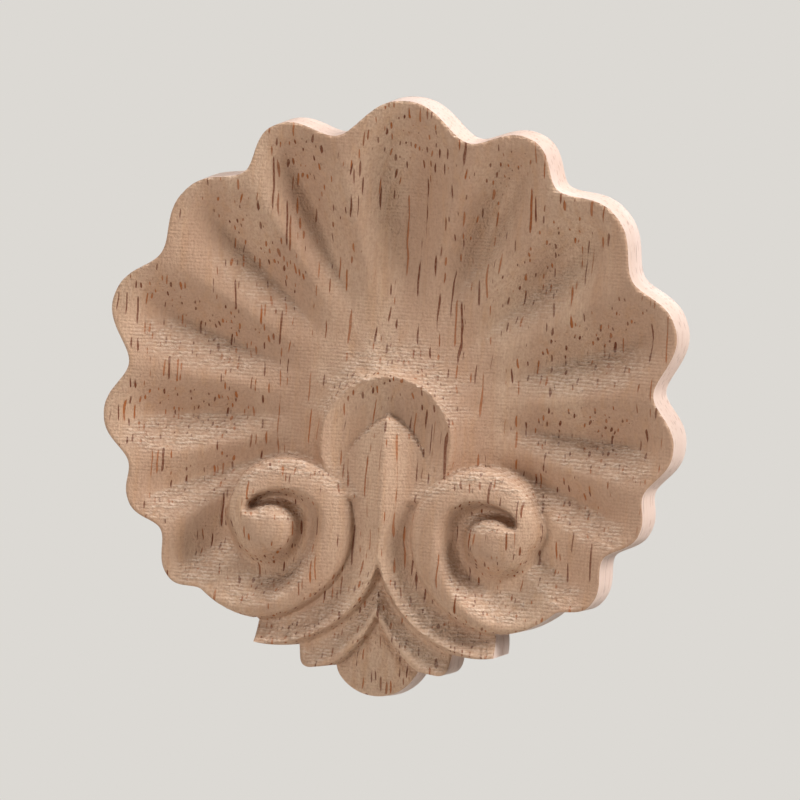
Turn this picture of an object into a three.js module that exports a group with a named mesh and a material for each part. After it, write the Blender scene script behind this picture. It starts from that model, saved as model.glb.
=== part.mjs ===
// Carved wood applique: a scallop shell rising from two scrolls, with a pointed leaf between
// them, and two pairs of strips and a round tongue fanning out below. It is one piece of wood
// with a flat back.
//
// Millimetres, +Z up. The flat back lies in the plane Y = 0 and the carving faces -Y.
// The relief is worked out on the right half as a height above the back at each place (x, z),
// and the left half is its mirror image.

import * as THREE from 'three';

// Wood thickness and walls
const RIM_HEIGHT = 10.5;
const WALL_SPREAD = 0.6;

// Shell: lobes around a hub, by angle from the top in degrees and distance from the hub. Each
// lobe has a flute, whose floor is rounded over a share of its half width.
const HUB_Z = -2;
const LOBES = [
  { tip: 0, reach: 43.4, notch: 13.5, notchReach: 39.2, floor: 0.75 },
  { tip: 24.7, reach: 43.0, notch: 34.2, notchReach: 39.1, floor: 0.1 },
  { tip: 45.5, reach: 42.05, notch: 58.2, notchReach: 38.85, floor: 0.08 },
  { tip: 69.5, reach: 41.85, notch: 82.6, notchReach: 37.1, floor: 0.08 },
  { tip: 93.6, reach: 40.05, notch: 104, notchReach: 37.2, floor: 0.08 },
  { tip: 111.5, reach: 38.6, notch: 120, notchReach: 35.9, floor: 0.08 },
  { tip: 129.5, reach: 38.45, notch: 136.5, notchReach: 35.9, floor: 0.15 },
];
const LOBE_FULLNESS = 1.2;
const FLUTE_DEPTH = 2.9;
const FLUTE_SHARPNESS = 1.6;
const FLUTE_START = 11;
const FLUTE_FULL_ANGLE = 21;
const FLUTE_RUN_OUT = 1.1;
const FLUTE_LEAN = 1.7;
const FLUTE_LOSS_SPREAD = 9;
const RIM_FLAT = 2;
const DISH_DEPTH = 4.9;
const DISH_LEAN = 0.55;

// Round recess around the leaf's tip
const RING_Z = -6;
const RING_RADIUS = 9.3;
const RING_ENDS_ANGLE = -30;
const RECESS_DEPTH = 2.4;
const RECESS_RUN = [[-9, 9], [2, 5]];

// Scrolls: each winds around an eye, and the wood is hollowed out around it
const EYE_X = 15.9;
const EYE_Z = -18.4;
const EYE_HEIGHT = 12.9;
const EYE_ROUNDING = 1.5;
const EYE_FLATNESS = 3;
const EYE_FOOT = 2.2;
const FOOT_STARTS = 262;
const FOOT_FULL = 310;
const HOLLOW_LOWEST = 0.4;

// Scroll band by degrees of turn from the shell's last notch: outer edge, lip and button, and
// how far the lip and the hollow's floor lie below the eye
const SCROLL_EDGE = [
  [0, 13.05], [40, 13.0], [75, 12.05], [115, 11.75], [160, 11.8], [190, 10.7], [225, 9.2],
  [255, 8.0], [278, 6.4], [300, 5.2], [330, 4.15], [360, 3.95], [420, 3.8],
];
const SCROLL_LIP = [
  [0, 12.4], [38, 11.5], [75, 9.5], [105, 8.2], [155, 8.0], [178, 6.9], [213, 5.2],
  [260, 4.4], [278, 4.05], [330, 2.4], [420, 2.2],
];
const BUTTON_EDGE = [[55, 3.8], [115, 3.6], [160, 3.5], [190, 3.2], [230, 2.9], [278, 3.2]];
const LIP_FALL = [[0, 2.1], [40, 0.3], [120, 0.8], [210, 0.9], [278, 0.5], [420, 0.4]];
const HOLLOW_FALL = [[0, 4.4], [55, 4.4], [110, 4.0], [160, 4.0], [210, 4.6], [278, 4.6]];
const SCROLL_ROUNDING = 2.2;
const SCROLL_BLEND_END = 55;
const LIP_SHARPENS = 120;
const LIP_SHARP = 230;
const HOLLOW_CLOSES = 262;
const HOLLOW_CLOSED = 286;
const SCROLL_INNER_END = 415;

// Leaf
const LEAF_TIP_Z = -2.2;
const LEAF_WIDEST_Z = -12;
const LEAF_HALF_WIDTH = 6.2;
const LEAF_RIDGE = [[-24, 11.9], [-12, 11.9], [-6, 11.2], [-2.2, 10.4]];
const LEAF_FALL = [[-24, 2.9], [-12, 2.9], [-2.2, 1.0]];
const LEAF_HOLLOWNESS = 1.8;
const LEAF_RIDGE_ROUNDING = 0.45;
const LEAF_ENDS_Z = -20.5;
const LEAF_TURNS_Z = -14;

// Strips, concentric with the eye, and the tongue below them
const STRIPS_OUTER_X = 17.9;
const STRIP_END_TURN = 39;
const STRIP_END_REACH = 16.2;
const UPPER_CREST = 16.2;
const UPPER_GROOVE = 17.1;
const UPPER_CREST_HEIGHT = 11.8;
const STRIP_FOOT_HEIGHT = 9.0;
const UPPER_HOLLOWNESS = 1.6;
const GROOVE_HEIGHT = [[55, 9.6], [90, 9.0], [115, 8.4]];
const LOWER_END_TURN = 60;
const LOWER_CENTRE_X = 17.5;
const LOWER_CENTRE_Z = -22;
const LOWER_GROOVE = 19.3;
const LOWER_CREST_HEIGHT = 10.9;
const LOWER_CREST_SHARE = 0.8;
const LOWER_HOLLOWNESS = 1.3;
const LOWER_END_DROP = 3.2;
const LOWER_END_LEAN = 0.5;
const LOWER_ROUNDING = 1.6;
const CREASE_END_TURN = 110;
const CREASE_END_ANGLE = 240;
const TONGUE_Z = -35.3;
const TONGUE_RADIUS = 6.2;
const TONGUE_HALF_WIDTH = 5.9;
const TONGUE_HEIGHT = [[-41.5, 7.0], [-36, 8.3], [-29, 9.2]];
const TONGUE_ROUNDING = 1.2;
const TONGUE_ROUNDING_RUN = 1.8;

// Facets
const RIM_STEP = 1.15;
const CARVING_STEP = 1.1;
const MIDDLE_STEP = 0.9;
const MIDDLE_CLEARANCE = 0.55;
const STEP_WIDTH = 0.3;
const ROW_CLEARANCE = 0.95;
const FLUTE_CLEARANCE = 0.7;
const GRID_CLEARANCE = 0.75;
const SHELL_RINGS = 16;
const FACETS_PER_FLUTE = 8;
const FLAT_AREA = 0.001;

const degrees = THREE.MathUtils.degToRad;
const { clamp, lerp, smoothstep } = THREE.MathUtils;

// Smooth curve through stations given as [place, value]
function along(stations, place) {
  const last = stations.length - 1;
  let i = 0;
  while (i < last - 1 && place > stations[i + 1][0]) {
    i += 1;
  }
  const [start, startValue] = stations[i];
  const [end, endValue] = stations[i + 1];
  const [before, beforeValue] = stations[Math.max(i - 1, 0)];
  const [after, afterValue] = stations[Math.min(i + 2, last)];
  const startSlope = (end - start) * (endValue - beforeValue) / (end - before);
  const endSlope = (end - start) * (afterValue - startValue) / (after - start);
  const t = clamp((place - start) / (end - start), 0, 1);
  const swell = t * t * (3 - 2 * t);
  const leave = t * (1 - t) * (1 - t);
  const arrive = t * t * (1 - t);
  return lerp(startValue, endValue, swell) + leave * startSlope - arrive * endSlope;
}

// Fall of a quarter circle, 0 at the crest and 1 at the edge
function quarterRound(t) {
  const s = clamp(t, 0, 1);
  return 1 - Math.sqrt(1 - s * s);
}

// Angle and distance from the shell's hub
function fromHub(x, z) {
  return {
    angle: THREE.MathUtils.radToDeg(Math.atan2(x, z - HUB_Z)),
    reach: Math.hypot(x, z - HUB_Z),
  };
}

function hubPlace(angle, reach) {
  const a = degrees(angle);
  return new THREE.Vector2(reach * Math.sin(a), HUB_Z + reach * Math.cos(a));
}

// The lobe at an angle, and how far the angle lies from its tip, from 0 there to 1 at a notch
function lobeAt(angle) {
  let i = 0;
  while (i < LOBES.length - 1 && angle > LOBES[i].notch) {
    i += 1;
  }
  const lobe = LOBES[i];
  const previous = i > 0 ? LOBES[i - 1] : { notch: -LOBES[0].notch, notchReach: LOBES[0].notchReach };
  const side = angle > lobe.tip ? lobe : previous;
  return {
    lobe,
    previousNotch: previous.notch,
    notchReach: side.notchReach,
    offset: Math.min((angle - lobe.tip) / (side.notch - lobe.tip), 1),
  };
}

function rimReach(angle) {
  const { lobe, notchReach, offset } = lobeAt(angle);
  const swell = 0.5 + 0.5 * Math.cos(Math.PI * offset ** LOBE_FULLNESS);
  return lerp(notchReach, lobe.reach, swell);
}

// Turn around the eye in degrees and distance from it. The turn starts at the last notch.
const lastLobe = LOBES[LOBES.length - 1];
const lastNotch = hubPlace(lastLobe.notch, lastLobe.notchReach);
const scrollStart = Math.atan2(lastNotch.y - EYE_Z, lastNotch.x - EYE_X);

function fromEye(x, z) {
  const clockwise = scrollStart - Math.atan2(z - EYE_Z, x - EYE_X);
  return {
    turn: THREE.MathUtils.euclideanModulo(THREE.MathUtils.radToDeg(clockwise), 360),
    reach: Math.hypot(x - EYE_X, z - EYE_Z),
  };
}

function eyePlace(turn, reach) {
  const a = scrollStart - degrees(turn);
  return new THREE.Vector2(EYE_X + reach * Math.cos(a), EYE_Z + reach * Math.sin(a));
}

// Depth of the flutes: sharp along a lobe's middle, rounded on the ridge at its notches,
// and running out towards the rim and the hub
function fluteDepth(angle, reach, inside) {
  if (angle > lastLobe.notch) {
    return 0;
  }
  const { lobe, previousNotch, offset } = lobeAt(angle);
  const rounded = (share) => Math.hypot(share, lobe.floor) - lobe.floor;
  const across = rounded(offset) / rounded(1);
  const valley = (1 - Math.min(across, 1)) ** FLUTE_SHARPNESS;
  const room = Math.max(reach + inside - RIM_FLAT - FLUTE_START, 1);
  const p = clamp((reach - FLUTE_START) / room, 0, 1) ** FLUTE_LEAN;
  const run = (4 * p * (1 - p)) ** FLUTE_RUN_OUT;
  const narrow = Math.min((lobe.notch - previousNotch) / FLUTE_FULL_ANGLE, 1);
  return FLUTE_DEPTH * narrow * valley * run;
}

// Shell: the dish between ring and rim with its flutes, which fade by the eye, and the recess
function shellHeight(x, z) {
  const { angle, reach } = fromHub(x, z);
  const inside = rimReach(angle) - reach;
  const fromRing = Math.hypot(x, z - RING_Z) - RING_RADIUS;
  if (fromRing < 0) {
    const sink = 1 - (1 - Math.min(-fromRing / along(RECESS_RUN, z), 1)) ** 2;
    return RIM_HEIGHT - RECESS_DEPTH * sink;
  }
  const share = fromRing / (fromRing + Math.max(inside, 0) + 1e-9);
  const dish = DISH_DEPTH * Math.sin(Math.PI * share ** DISH_LEAN);
  const byEye = Math.exp(-((fromEye(x, z).reach / FLUTE_LOSS_SPREAD) ** 2));
  return RIM_HEIGHT - dish - fluteDepth(angle, reach, inside) * (1 - byEye);
}

// Scroll band with its hollow, and the button-like eye that it ends in
function scrollHeight(turn, reach) {
  const edge = along(SCROLL_EDGE, turn);
  const dome = EYE_HEIGHT - EYE_ROUNDING * Math.min(reach / edge, 1) ** EYE_FLATNESS;
  const closing = smoothstep(turn, HOLLOW_CLOSES, HOLLOW_CLOSED);
  if (closing === 1) {
    return dome;
  }
  return lerp(bandHeight(turn, reach, edge), dome, closing);
}

// From the eye outwards: the button, its side down to the hollow's floor, up to the lip, and
// the rounding down to the band's outer edge
function bandHeight(turn, reach, edge) {
  const lip = along(SCROLL_LIP, turn);
  const lipHeight = EYE_HEIGHT - along(LIP_FALL, turn);
  if (reach > lip) {
    return lipHeight - SCROLL_ROUNDING * quarterRound((reach - lip) / (edge - lip));
  }
  const button = along(BUTTON_EDGE, turn);
  if (reach < button) {
    return EYE_HEIGHT - EYE_ROUNDING * (reach / button) ** EYE_FLATNESS;
  }
  const floor = EYE_HEIGHT - along(HOLLOW_FALL, turn);
  const lowest = lerp(button, lip, HOLLOW_LOWEST);
  if (reach < lowest) {
    const side = (lowest - reach) / (lowest - button);
    return lerp(floor, EYE_HEIGHT - EYE_ROUNDING, side * side);
  }
  const t = (reach - lowest) / (lip - lowest);
  const climb = lerp(t * t * (3 - 2 * t), t * t, smoothstep(turn, LIP_SHARPENS, LIP_SHARP));
  return lerp(floor, lipHeight, climb);
}

// Height beside the scroll's inner end, which has a sloping foot instead of a step
function footed(height, turn, reach) {
  const innerTurn = turn < SCROLL_INNER_END - 360 ? turn + 360 : turn;
  const width = EYE_FOOT * smoothstep(innerTurn, FOOT_STARTS, FOOT_FULL);
  const beyond = reach - along(SCROLL_EDGE, innerTurn);
  if (beyond >= width) {
    return height;
  }
  return lerp(EYE_HEIGHT - EYE_ROUNDING, height, smoothstep(beyond, 0, width));
}

// Leaf with a ridge on the middle line and hollow flanks
function leafHalfWidth(z) {
  const length = LEAF_TIP_Z - LEAF_WIDEST_Z;
  const radius = (LEAF_HALF_WIDTH ** 2 + length ** 2) / (2 * LEAF_HALF_WIDTH);
  const rise = clamp(z - LEAF_WIDEST_Z, 0, length);
  return LEAF_HALF_WIDTH - radius + Math.sqrt(radius ** 2 - rise ** 2);
}

function leafHeight(x, z) {
  const halfWidth = leafHalfWidth(z);
  if (z > LEAF_TIP_Z || x > halfWidth) {
    return 0;
  }
  const t = (Math.hypot(x, LEAF_RIDGE_ROUNDING) - LEAF_RIDGE_ROUNDING) / halfWidth;
  return along(LEAF_RIDGE, z) - along(LEAF_FALL, z) * (1 - (1 - t) ** LEAF_HOLLOWNESS);
}

// Strips and tongue
function stripHeight(x, z) {
  const { turn, reach } = fromEye(x, z);
  const groove = along(GROOVE_HEIGHT, turn);
  if (reach < UPPER_CREST) {
    const edge = along(SCROLL_EDGE, turn);
    const climb = clamp((reach - edge) / (UPPER_CREST - edge), 0, 1) ** UPPER_HOLLOWNESS;
    return lerp(STRIP_FOOT_HEIGHT, UPPER_CREST_HEIGHT, climb);
  }
  if (reach < UPPER_GROOVE) {
    return lerp(UPPER_CREST_HEIGHT, groove, smoothstep(reach, UPPER_CREST, UPPER_GROOVE));
  }
  const beyond = Math.hypot(x - LOWER_CENTRE_X, z - LOWER_CENTRE_Z) - LOWER_GROOVE;
  if (beyond < 0) {
    const t = (reach - UPPER_GROOVE) / (reach - UPPER_GROOVE - beyond);
    if (t < LOWER_CREST_SHARE) {
      return lerp(groove, LOWER_CREST_HEIGHT, (t / LOWER_CREST_SHARE) ** LOWER_HOLLOWNESS);
    }
    return LOWER_CREST_HEIGHT - quarterRound((t - LOWER_CREST_SHARE) / (1 - LOWER_CREST_SHARE));
  }
  const side = 1 - Math.min(beyond / TONGUE_ROUNDING_RUN, 1);
  return along(TONGUE_HEIGHT, z) - TONGUE_ROUNDING * side * side;
}

// The whole relief: which form a place belongs to, and its height there
function relief(across, z) {
  const x = Math.abs(across);
  const { turn, reach } = fromEye(x, z);
  const innerTurn = turn + 360;
  if (innerTurn < SCROLL_INNER_END && reach < along(SCROLL_EDGE, innerTurn)) {
    return scrollHeight(innerTurn, reach);
  }
  if (reach < along(SCROLL_EDGE, turn)) {
    const scroll = scrollHeight(turn, reach);
    if (turn > SCROLL_BLEND_END) {
      return scroll;
    }
    const shell = footed(shellHeight(x, z), turn, reach);
    return lerp(shell, scroll, smoothstep(turn, 0, SCROLL_BLEND_END));
  }
  if (x < STRIPS_OUTER_X && z < LEAF_TURNS_Z) {
    const strips = stripHeight(x, z);
    const leaf = leafHeight(x, z);
    return lerp(strips, Math.max(leaf, strips), smoothstep(z, LEAF_ENDS_Z, LEAF_TURNS_Z));
  }
  return Math.max(footed(shellHeight(x, z), turn, reach), leafHeight(x, z));
}

// A curve given by a function of the share along it
class Path extends THREE.Curve {
  constructor(place) {
    super();
    this.place = place;
  }

  getPoint(t, target = new THREE.Vector2()) {
    return target.copy(this.place(t));
  }
}

function spaced(curve, step) {
  return curve.getSpacedPoints(Math.max(Math.ceil(curve.getLength() / step), 1));
}

// Right half of the outline, from the top of the middle line round to its bottom
function halfOutline() {
  const lobes = new Path((t) => {
    const angle = t * lastLobe.notch;
    return hubPlace(angle, rimReach(angle));
  });
  const bell = new Path((t) => {
    const turn = t * STRIP_END_TURN;
    return eyePlace(turn, along(SCROLL_EDGE, turn));
  });
  const upperCorner = eyePlace(STRIP_END_TURN, STRIP_END_REACH);
  const upperEnd = new THREE.LineCurve(bell.getPoint(1), upperCorner);
  const upperEdge = new Path((t) => eyePlace(
    lerp(STRIP_END_TURN, LOWER_END_TURN, t),
    lerp(STRIP_END_REACH, UPPER_GROOVE, t),
  ));
  const lowerTop = eyePlace(LOWER_END_TURN, UPPER_GROOVE);
  const lowerCorner = new THREE.Vector2(
    lowerTop.x - LOWER_END_LEAN,
    lowerTop.y - LOWER_END_DROP,
  );
  const startOfTongue = Math.acos(TONGUE_HALF_WIDTH / TONGUE_RADIUS);
  const tongue = new Path((t) => {
    const a = lerp(startOfTongue, Math.PI / 2, t);
    return new THREE.Vector2(TONGUE_RADIUS * Math.cos(a), TONGUE_Z - TONGUE_RADIUS * Math.sin(a));
  });
  const tongueTop = tongue.getPoint(0);
  const toward = (place) => {
    const way = place.clone().sub(lowerCorner);
    return lowerCorner.clone().addScaledVector(way.normalize(), LOWER_ROUNDING);
  };
  const lowerEnd = new THREE.LineCurve(lowerTop, toward(lowerTop));
  const rounding = new THREE.QuadraticBezierCurve(lowerEnd.v2, lowerCorner, toward(tongueTop));
  const lowerEdge = new THREE.LineCurve(rounding.v2, tongueTop);
  const curves = [lobes, bell, upperEnd, upperEdge, lowerEnd, rounding, lowerEdge, tongue];
  const points = [];
  for (const curve of curves) {
    points.push(...spaced(curve, RIM_STEP).slice(0, -1));
  }
  points.push(tongue.getPoint(1));
  points[0].x = 0;
  points[points.length - 1].x = 0;
  return points;
}

// Places on the right half that the facets' corners must follow. A step in the relief has a row
// of corners on each side, and a lip, crest or groove has one row.
function carvedPlaces() {
  const around = (from, to, reachAt) => new Path((t) => {
    const turn = lerp(from, to, t);
    return eyePlace(turn, reachAt(turn));
  });
  const steps = [
    around(STRIP_END_TURN, FOOT_FULL, (turn) => along(SCROLL_EDGE, turn)),
    around(BUTTON_EDGE[0][0], HOLLOW_CLOSES, (turn) => along(BUTTON_EDGE, turn)),
    new Path((t) => {
      const a = degrees(lerp(180, CREASE_END_ANGLE, t));
      return new THREE.Vector2(
        LOWER_CENTRE_X + LOWER_GROOVE * Math.cos(a),
        LOWER_CENTRE_Z + LOWER_GROOVE * Math.sin(a),
      );
    }),
    new Path((t) => {
      const z = lerp(LEAF_TIP_Z, LEAF_WIDEST_Z, t);
      return new THREE.Vector2(leafHalfWidth(z), z);
    }),
  ];
  const rows = [
    around(FOOT_FULL, SCROLL_INNER_END, (turn) => along(SCROLL_EDGE, turn)),
    around(FOOT_FULL, SCROLL_INNER_END, (turn) => along(SCROLL_EDGE, turn) + EYE_FOOT),
    around(STRIP_END_TURN, HOLLOW_CLOSED, (turn) => along(SCROLL_LIP, turn)),
    around(BUTTON_EDGE[0][0], HOLLOW_CLOSED, (turn) => lerp(
      along(BUTTON_EDGE, turn),
      along(SCROLL_LIP, turn),
      HOLLOW_LOWEST,
    )),
    around(STRIP_END_TURN, CREASE_END_TURN, () => UPPER_CREST),
    around(LOWER_END_TURN, CREASE_END_TURN, () => UPPER_GROOVE),
    new Path((t) => {
      const a = degrees(lerp(90, RING_ENDS_ANGLE, t));
      return new THREE.Vector2(RING_RADIUS * Math.cos(a), RING_Z + RING_RADIUS * Math.sin(a));
    }),
  ];
  const middle = new THREE.LineCurve(
    new THREE.Vector2(0, HUB_Z + LOBES[0].reach),
    new THREE.Vector2(0, TONGUE_Z - TONGUE_RADIUS),
  );
  const crossing = (centreX, centreZ, radius) => centreZ - Math.sqrt(radius ** 2 - centreX ** 2);
  const tongueTop = crossing(LOWER_CENTRE_X, LOWER_CENTRE_Z, LOWER_GROOVE);
  const crossings = [
    crossing(EYE_X, EYE_Z, UPPER_CREST),
    crossing(EYE_X, EYE_Z, UPPER_GROOVE),
    tongueTop + STEP_WIDTH,
    tongueTop - STEP_WIDTH,
  ];
  const places = crossings.map((z) => new THREE.Vector2(0, z));
  places.push(...spaced(middle, MIDDLE_STEP));
  for (const curve of steps) {
    const count = Math.ceil(curve.getLength() / CARVING_STEP);
    for (let i = 0; i <= count; i += 1) {
      const place = curve.getPointAt(i / count);
      const { x, y } = curve.getTangentAt(i / count).multiplyScalar(STEP_WIDTH / 2);
      places.push(new THREE.Vector2(place.x - y, place.y + x));
      places.push(new THREE.Vector2(place.x + y, place.y - x));
    }
  }
  for (const curve of rows) {
    places.push(...spaced(curve, CARVING_STEP));
  }
  return places;
}

// Corners of the facets on the right half. A corner that lies too near an earlier one is left
// out, so the outline comes first, then the carved lines, the flutes and a plain grid.
function facetCorners(outline) {
  const corners = outline.slice();
  const inOutline = insideOf(outline);
  const add = (place, gap) => {
    if (place.x < MIDDLE_CLEARANCE && place.x !== 0) {
      return;
    }
    const crowded = corners.some((corner) => corner.distanceTo(place) < gap);
    if (!crowded && inOutline(place)) {
      corners.push(place);
    }
  };
  for (const place of carvedPlaces()) {
    add(place, ROW_CLEARANCE * STEP_WIDTH);
  }
  for (const place of flutePlaces()) {
    add(place, FLUTE_CLEARANCE * CARVING_STEP);
  }
  const rowGap = CARVING_STEP * Math.sqrt(0.75);
  const width = EYE_X + SCROLL_EDGE[0][1];
  let shift = 0;
  for (let z = HUB_Z + FLUTE_START; z > TONGUE_Z - TONGUE_RADIUS; z -= rowGap) {
    shift = CARVING_STEP / 2 - shift;
    for (let x = shift; x < width; x += CARVING_STEP) {
      const { angle, reach } = fromHub(x, z);
      const beyondFlutes = reach < FLUTE_START || angle > lastLobe.notch;
      if (beyondFlutes || fromEye(x, z).reach < SCROLL_EDGE[0][1]) {
        add(new THREE.Vector2(x, z), GRID_CLEARANCE * CARVING_STEP);
      }
    }
  }
  return corners;
}

// Rings of places across the flutes, on each lobe's middle, at its notches and evenly between
function flutePlaces() {
  const places = [];
  let previous = -LOBES[0].notch;
  for (const lobe of LOBES) {
    for (let i = 1; i <= FACETS_PER_FLUTE; i += 1) {
      const offset = 2 * i / FACETS_PER_FLUTE - 1;
      const side = offset < 0 ? lobe.tip - previous : lobe.notch - lobe.tip;
      const angle = lobe.tip + offset * side;
      for (let k = 0; k < SHELL_RINGS; k += 1) {
        const reach = lerp(FLUTE_START, rimReach(angle), k / SHELL_RINGS);
        const place = hubPlace(angle, reach);
        const { turn, reach: eyeReach } = fromEye(place.x, place.y);
        const clear = Math.hypot(place.x, place.y - RING_Z) > RING_RADIUS;
        if (angle > 0 && clear && eyeReach > along(SCROLL_EDGE, turn)) {
          places.push(place);
        }
      }
    }
    previous = lobe.notch;
  }
  return places;
}

// Test of whether a place lies inside the right half of the outline
function insideOf(outline) {
  return (place) => {
    let inside = false;
    for (let i = 0; i < outline.length; i += 1) {
      const a = outline[i];
      const b = outline[(i + 1) % outline.length];
      const crosses = (a.y > place.y) !== (b.y > place.y);
      if (crosses && place.x < a.x + (b.x - a.x) * (place.y - a.y) / (b.y - a.y)) {
        inside = !inside;
      }
    }
    return inside || place.x === 0;
  };
}

// Circle through three corners, kept with them for the facet search
function facet(corners, a, b, c) {
  const [p, q, r] = [corners[a], corners[b], corners[c]];
  const qx = q.x - p.x;
  const qy = q.y - p.y;
  const rx = r.x - p.x;
  const ry = r.y - p.y;
  const twiceArea = 2 * (qx * ry - qy * rx);
  const ux = (ry * (qx * qx + qy * qy) - qy * (rx * rx + ry * ry)) / twiceArea;
  const uy = (qx * (rx * rx + ry * ry) - rx * (qx * qx + qy * qy)) / twiceArea;
  return { corners: [a, b, c], x: p.x + ux, y: p.y + uy, square: ux * ux + uy * uy };
}

// Edges that belong to only one facet of a set, each in the direction of that facet
function openEdges(facets) {
  const open = new Map();
  for (const [a, b, c] of facets) {
    for (const [from, to] of [[a, b], [b, c], [c, a]]) {
      if (!open.delete(`${to} ${from}`)) {
        open.set(`${from} ${to}`, [from, to]);
      }
    }
  }
  return [...open.values()];
}

// Facets between the corners, each with no other corner inside its circle
function joinCorners(places) {
  const far = 50 * LOBES[0].reach;
  const corners = [
    ...places,
    new THREE.Vector2(-far, -far),
    new THREE.Vector2(far, -far),
    new THREE.Vector2(0, far),
  ];
  const count = places.length;
  let facets = [facet(corners, count, count + 1, count + 2)];
  for (let i = 0; i < count; i += 1) {
    const { x, y } = corners[i];
    const isStruck = (each) => (x - each.x) ** 2 + (y - each.y) ** 2 < each.square;
    const struck = facets.filter(isStruck).map((each) => each.corners);
    const renewed = openEdges(struck).map(([from, to]) => facet(corners, from, to, i));
    facets = facets.filter((each) => !isStruck(each)).concat(renewed);
  }
  return facets.map((each) => each.corners).filter((each) => Math.max(...each) < count);
}

// The carved front of the right half. Corners near the middle line are repeated on its left
// while the facets are found, so that facets meet along that line.
function halfFront() {
  const outline = halfOutline();
  const corners = facetCorners(outline);
  const nearMiddle = corners.filter((place) => place.x > 0 && place.x < 4 * CARVING_STEP);
  const mirrored = nearMiddle.map((place) => new THREE.Vector2(-place.x, place.y));
  const inOutline = insideOf(outline);
  const facets = joinCorners([...corners, ...mirrored]).filter((each) => {
    if (Math.max(...each) >= corners.length) {
      return false;
    }
    const [a, b, c] = each.map((corner) => corners[corner]);
    const middle = a.clone().add(b).add(c).divideScalar(3);
    const isFlat = b.clone().sub(a).cross(c.clone().sub(a)) < FLAT_AREA;
    return !isFlat && middle.x > 0 && inOutline(middle);
  });
  return { corners, facets };
}

// The edge of a set of facets, as one closed round of corners
function roundEdge(facets) {
  const next = new Map(openEdges(facets));
  const round = [];
  let corner = next.keys().next().value;
  while (round.length < next.size) {
    round.push(corner);
    corner = next.get(corner);
  }
  return round;
}

// Places outside a closed round of places, each moved by the same amount
function spread(round, amount) {
  return round.map((place, i) => {
    const before = round[(i + round.length - 1) % round.length];
    const after = round[(i + 1) % round.length];
    const outwards = new THREE.Vector2();
    for (const [from, to] of [[before, place], [place, after]]) {
      const length = from.distanceTo(to);
      outwards.x += (to.y - from.y) / length;
      outwards.y -= (to.x - from.x) / length;
    }
    return place.clone().addScaledVector(outwards.normalize(), amount);
  });
}

// The whole body: the front and its mirror image, the side walls and the flat back
function appliqueGeometry() {
  const { corners, facets } = halfFront();
  const places = corners.slice();
  const mirror = corners.map((place) => {
    if (place.x === 0) {
      return places.indexOf(place);
    }
    return places.push(new THREE.Vector2(-place.x, place.y)) - 1;
  });
  const points = places.map(({ x, y }) => new THREE.Vector3(x, -relief(x, y), y));
  const faces = [];
  for (const [a, b, c] of facets) {
    faces.push([a, b, c], [mirror[c], mirror[b], mirror[a]]);
  }
  const rim = roundEdge(faces);
  const foot = spread(rim.map((corner) => places[corner]), WALL_SPREAD);
  const firstFoot = points.length;
  for (const { x, y } of foot) {
    points.push(new THREE.Vector3(x, 0, y));
  }
  for (const [a, b, c] of THREE.ShapeUtils.triangulateShape(foot, [])) {
    faces.push([firstFoot + c, firstFoot + b, firstFoot + a]);
  }
  for (let i = 0; i < rim.length; i += 1) {
    const k = (i + 1) % rim.length;
    faces.push([rim[k], rim[i], firstFoot + i], [rim[k], firstFoot + i, firstFoot + k]);
  }
  const geometry = new THREE.BufferGeometry().setFromPoints(points);
  geometry.setIndex(faces.flat());
  geometry.computeVertexNormals();
  return geometry;
}

const wood = new THREE.MeshStandardMaterial({ color: '#b08f78', roughness: 0.7, metalness: 0 });
const applique = new THREE.Mesh(appliqueGeometry(), wood);
applique.name = 'carved_applique';

const group = new THREE.Group();
group.add(applique);

export default group;
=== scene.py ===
# Carved wood applique: a fluted shell over two scrolls, in raw machine-carved rubberwood.
# The carving is one height function over the right half, mirrored, then worn and torn a little.
# Sizes are in millimetres until the mesh is made, and in metres after.
import math

import bpy
import numpy as np
from bpy.props import FloatProperty, FloatVectorProperty, PointerProperty
from mathutils import Matrix, Vector
from mathutils.geometry import delaunay_2d_cdt
from mathutils.kdtree import KDTree


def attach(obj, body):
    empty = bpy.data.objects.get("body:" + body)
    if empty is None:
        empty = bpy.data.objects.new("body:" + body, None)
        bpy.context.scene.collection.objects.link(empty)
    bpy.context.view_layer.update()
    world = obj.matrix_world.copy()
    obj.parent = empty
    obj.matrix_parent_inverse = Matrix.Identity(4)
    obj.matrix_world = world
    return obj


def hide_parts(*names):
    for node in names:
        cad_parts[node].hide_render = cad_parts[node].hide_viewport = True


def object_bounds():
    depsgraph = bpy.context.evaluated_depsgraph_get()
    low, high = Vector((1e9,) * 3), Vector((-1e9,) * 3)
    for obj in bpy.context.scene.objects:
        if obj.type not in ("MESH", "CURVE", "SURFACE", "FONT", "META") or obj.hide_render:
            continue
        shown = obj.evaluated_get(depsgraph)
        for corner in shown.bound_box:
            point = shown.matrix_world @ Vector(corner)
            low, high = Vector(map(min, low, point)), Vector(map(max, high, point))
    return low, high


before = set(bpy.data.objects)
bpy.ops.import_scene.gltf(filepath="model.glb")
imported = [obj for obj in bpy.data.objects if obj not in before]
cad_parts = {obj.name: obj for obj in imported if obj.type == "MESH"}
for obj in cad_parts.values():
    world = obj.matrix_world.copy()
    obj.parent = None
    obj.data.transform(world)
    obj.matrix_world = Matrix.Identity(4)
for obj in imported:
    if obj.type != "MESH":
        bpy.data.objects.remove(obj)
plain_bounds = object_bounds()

bl_info = {
    "name": "Carved wood applique",
    "version": (1, 0, 0),
    "blender": (4, 5, 0),
    "location": "View3D > Sidebar > Applique",
    "description": "Shell and scroll applique carved from one board of rubberwood",
    "category": "Object",
}

MM = 0.001
NODE = "carved_applique"

# Board and walls
RIM_HEIGHT = 10.5
WALL_SPREAD = 0.58
WALL_ROWS = 11

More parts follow.
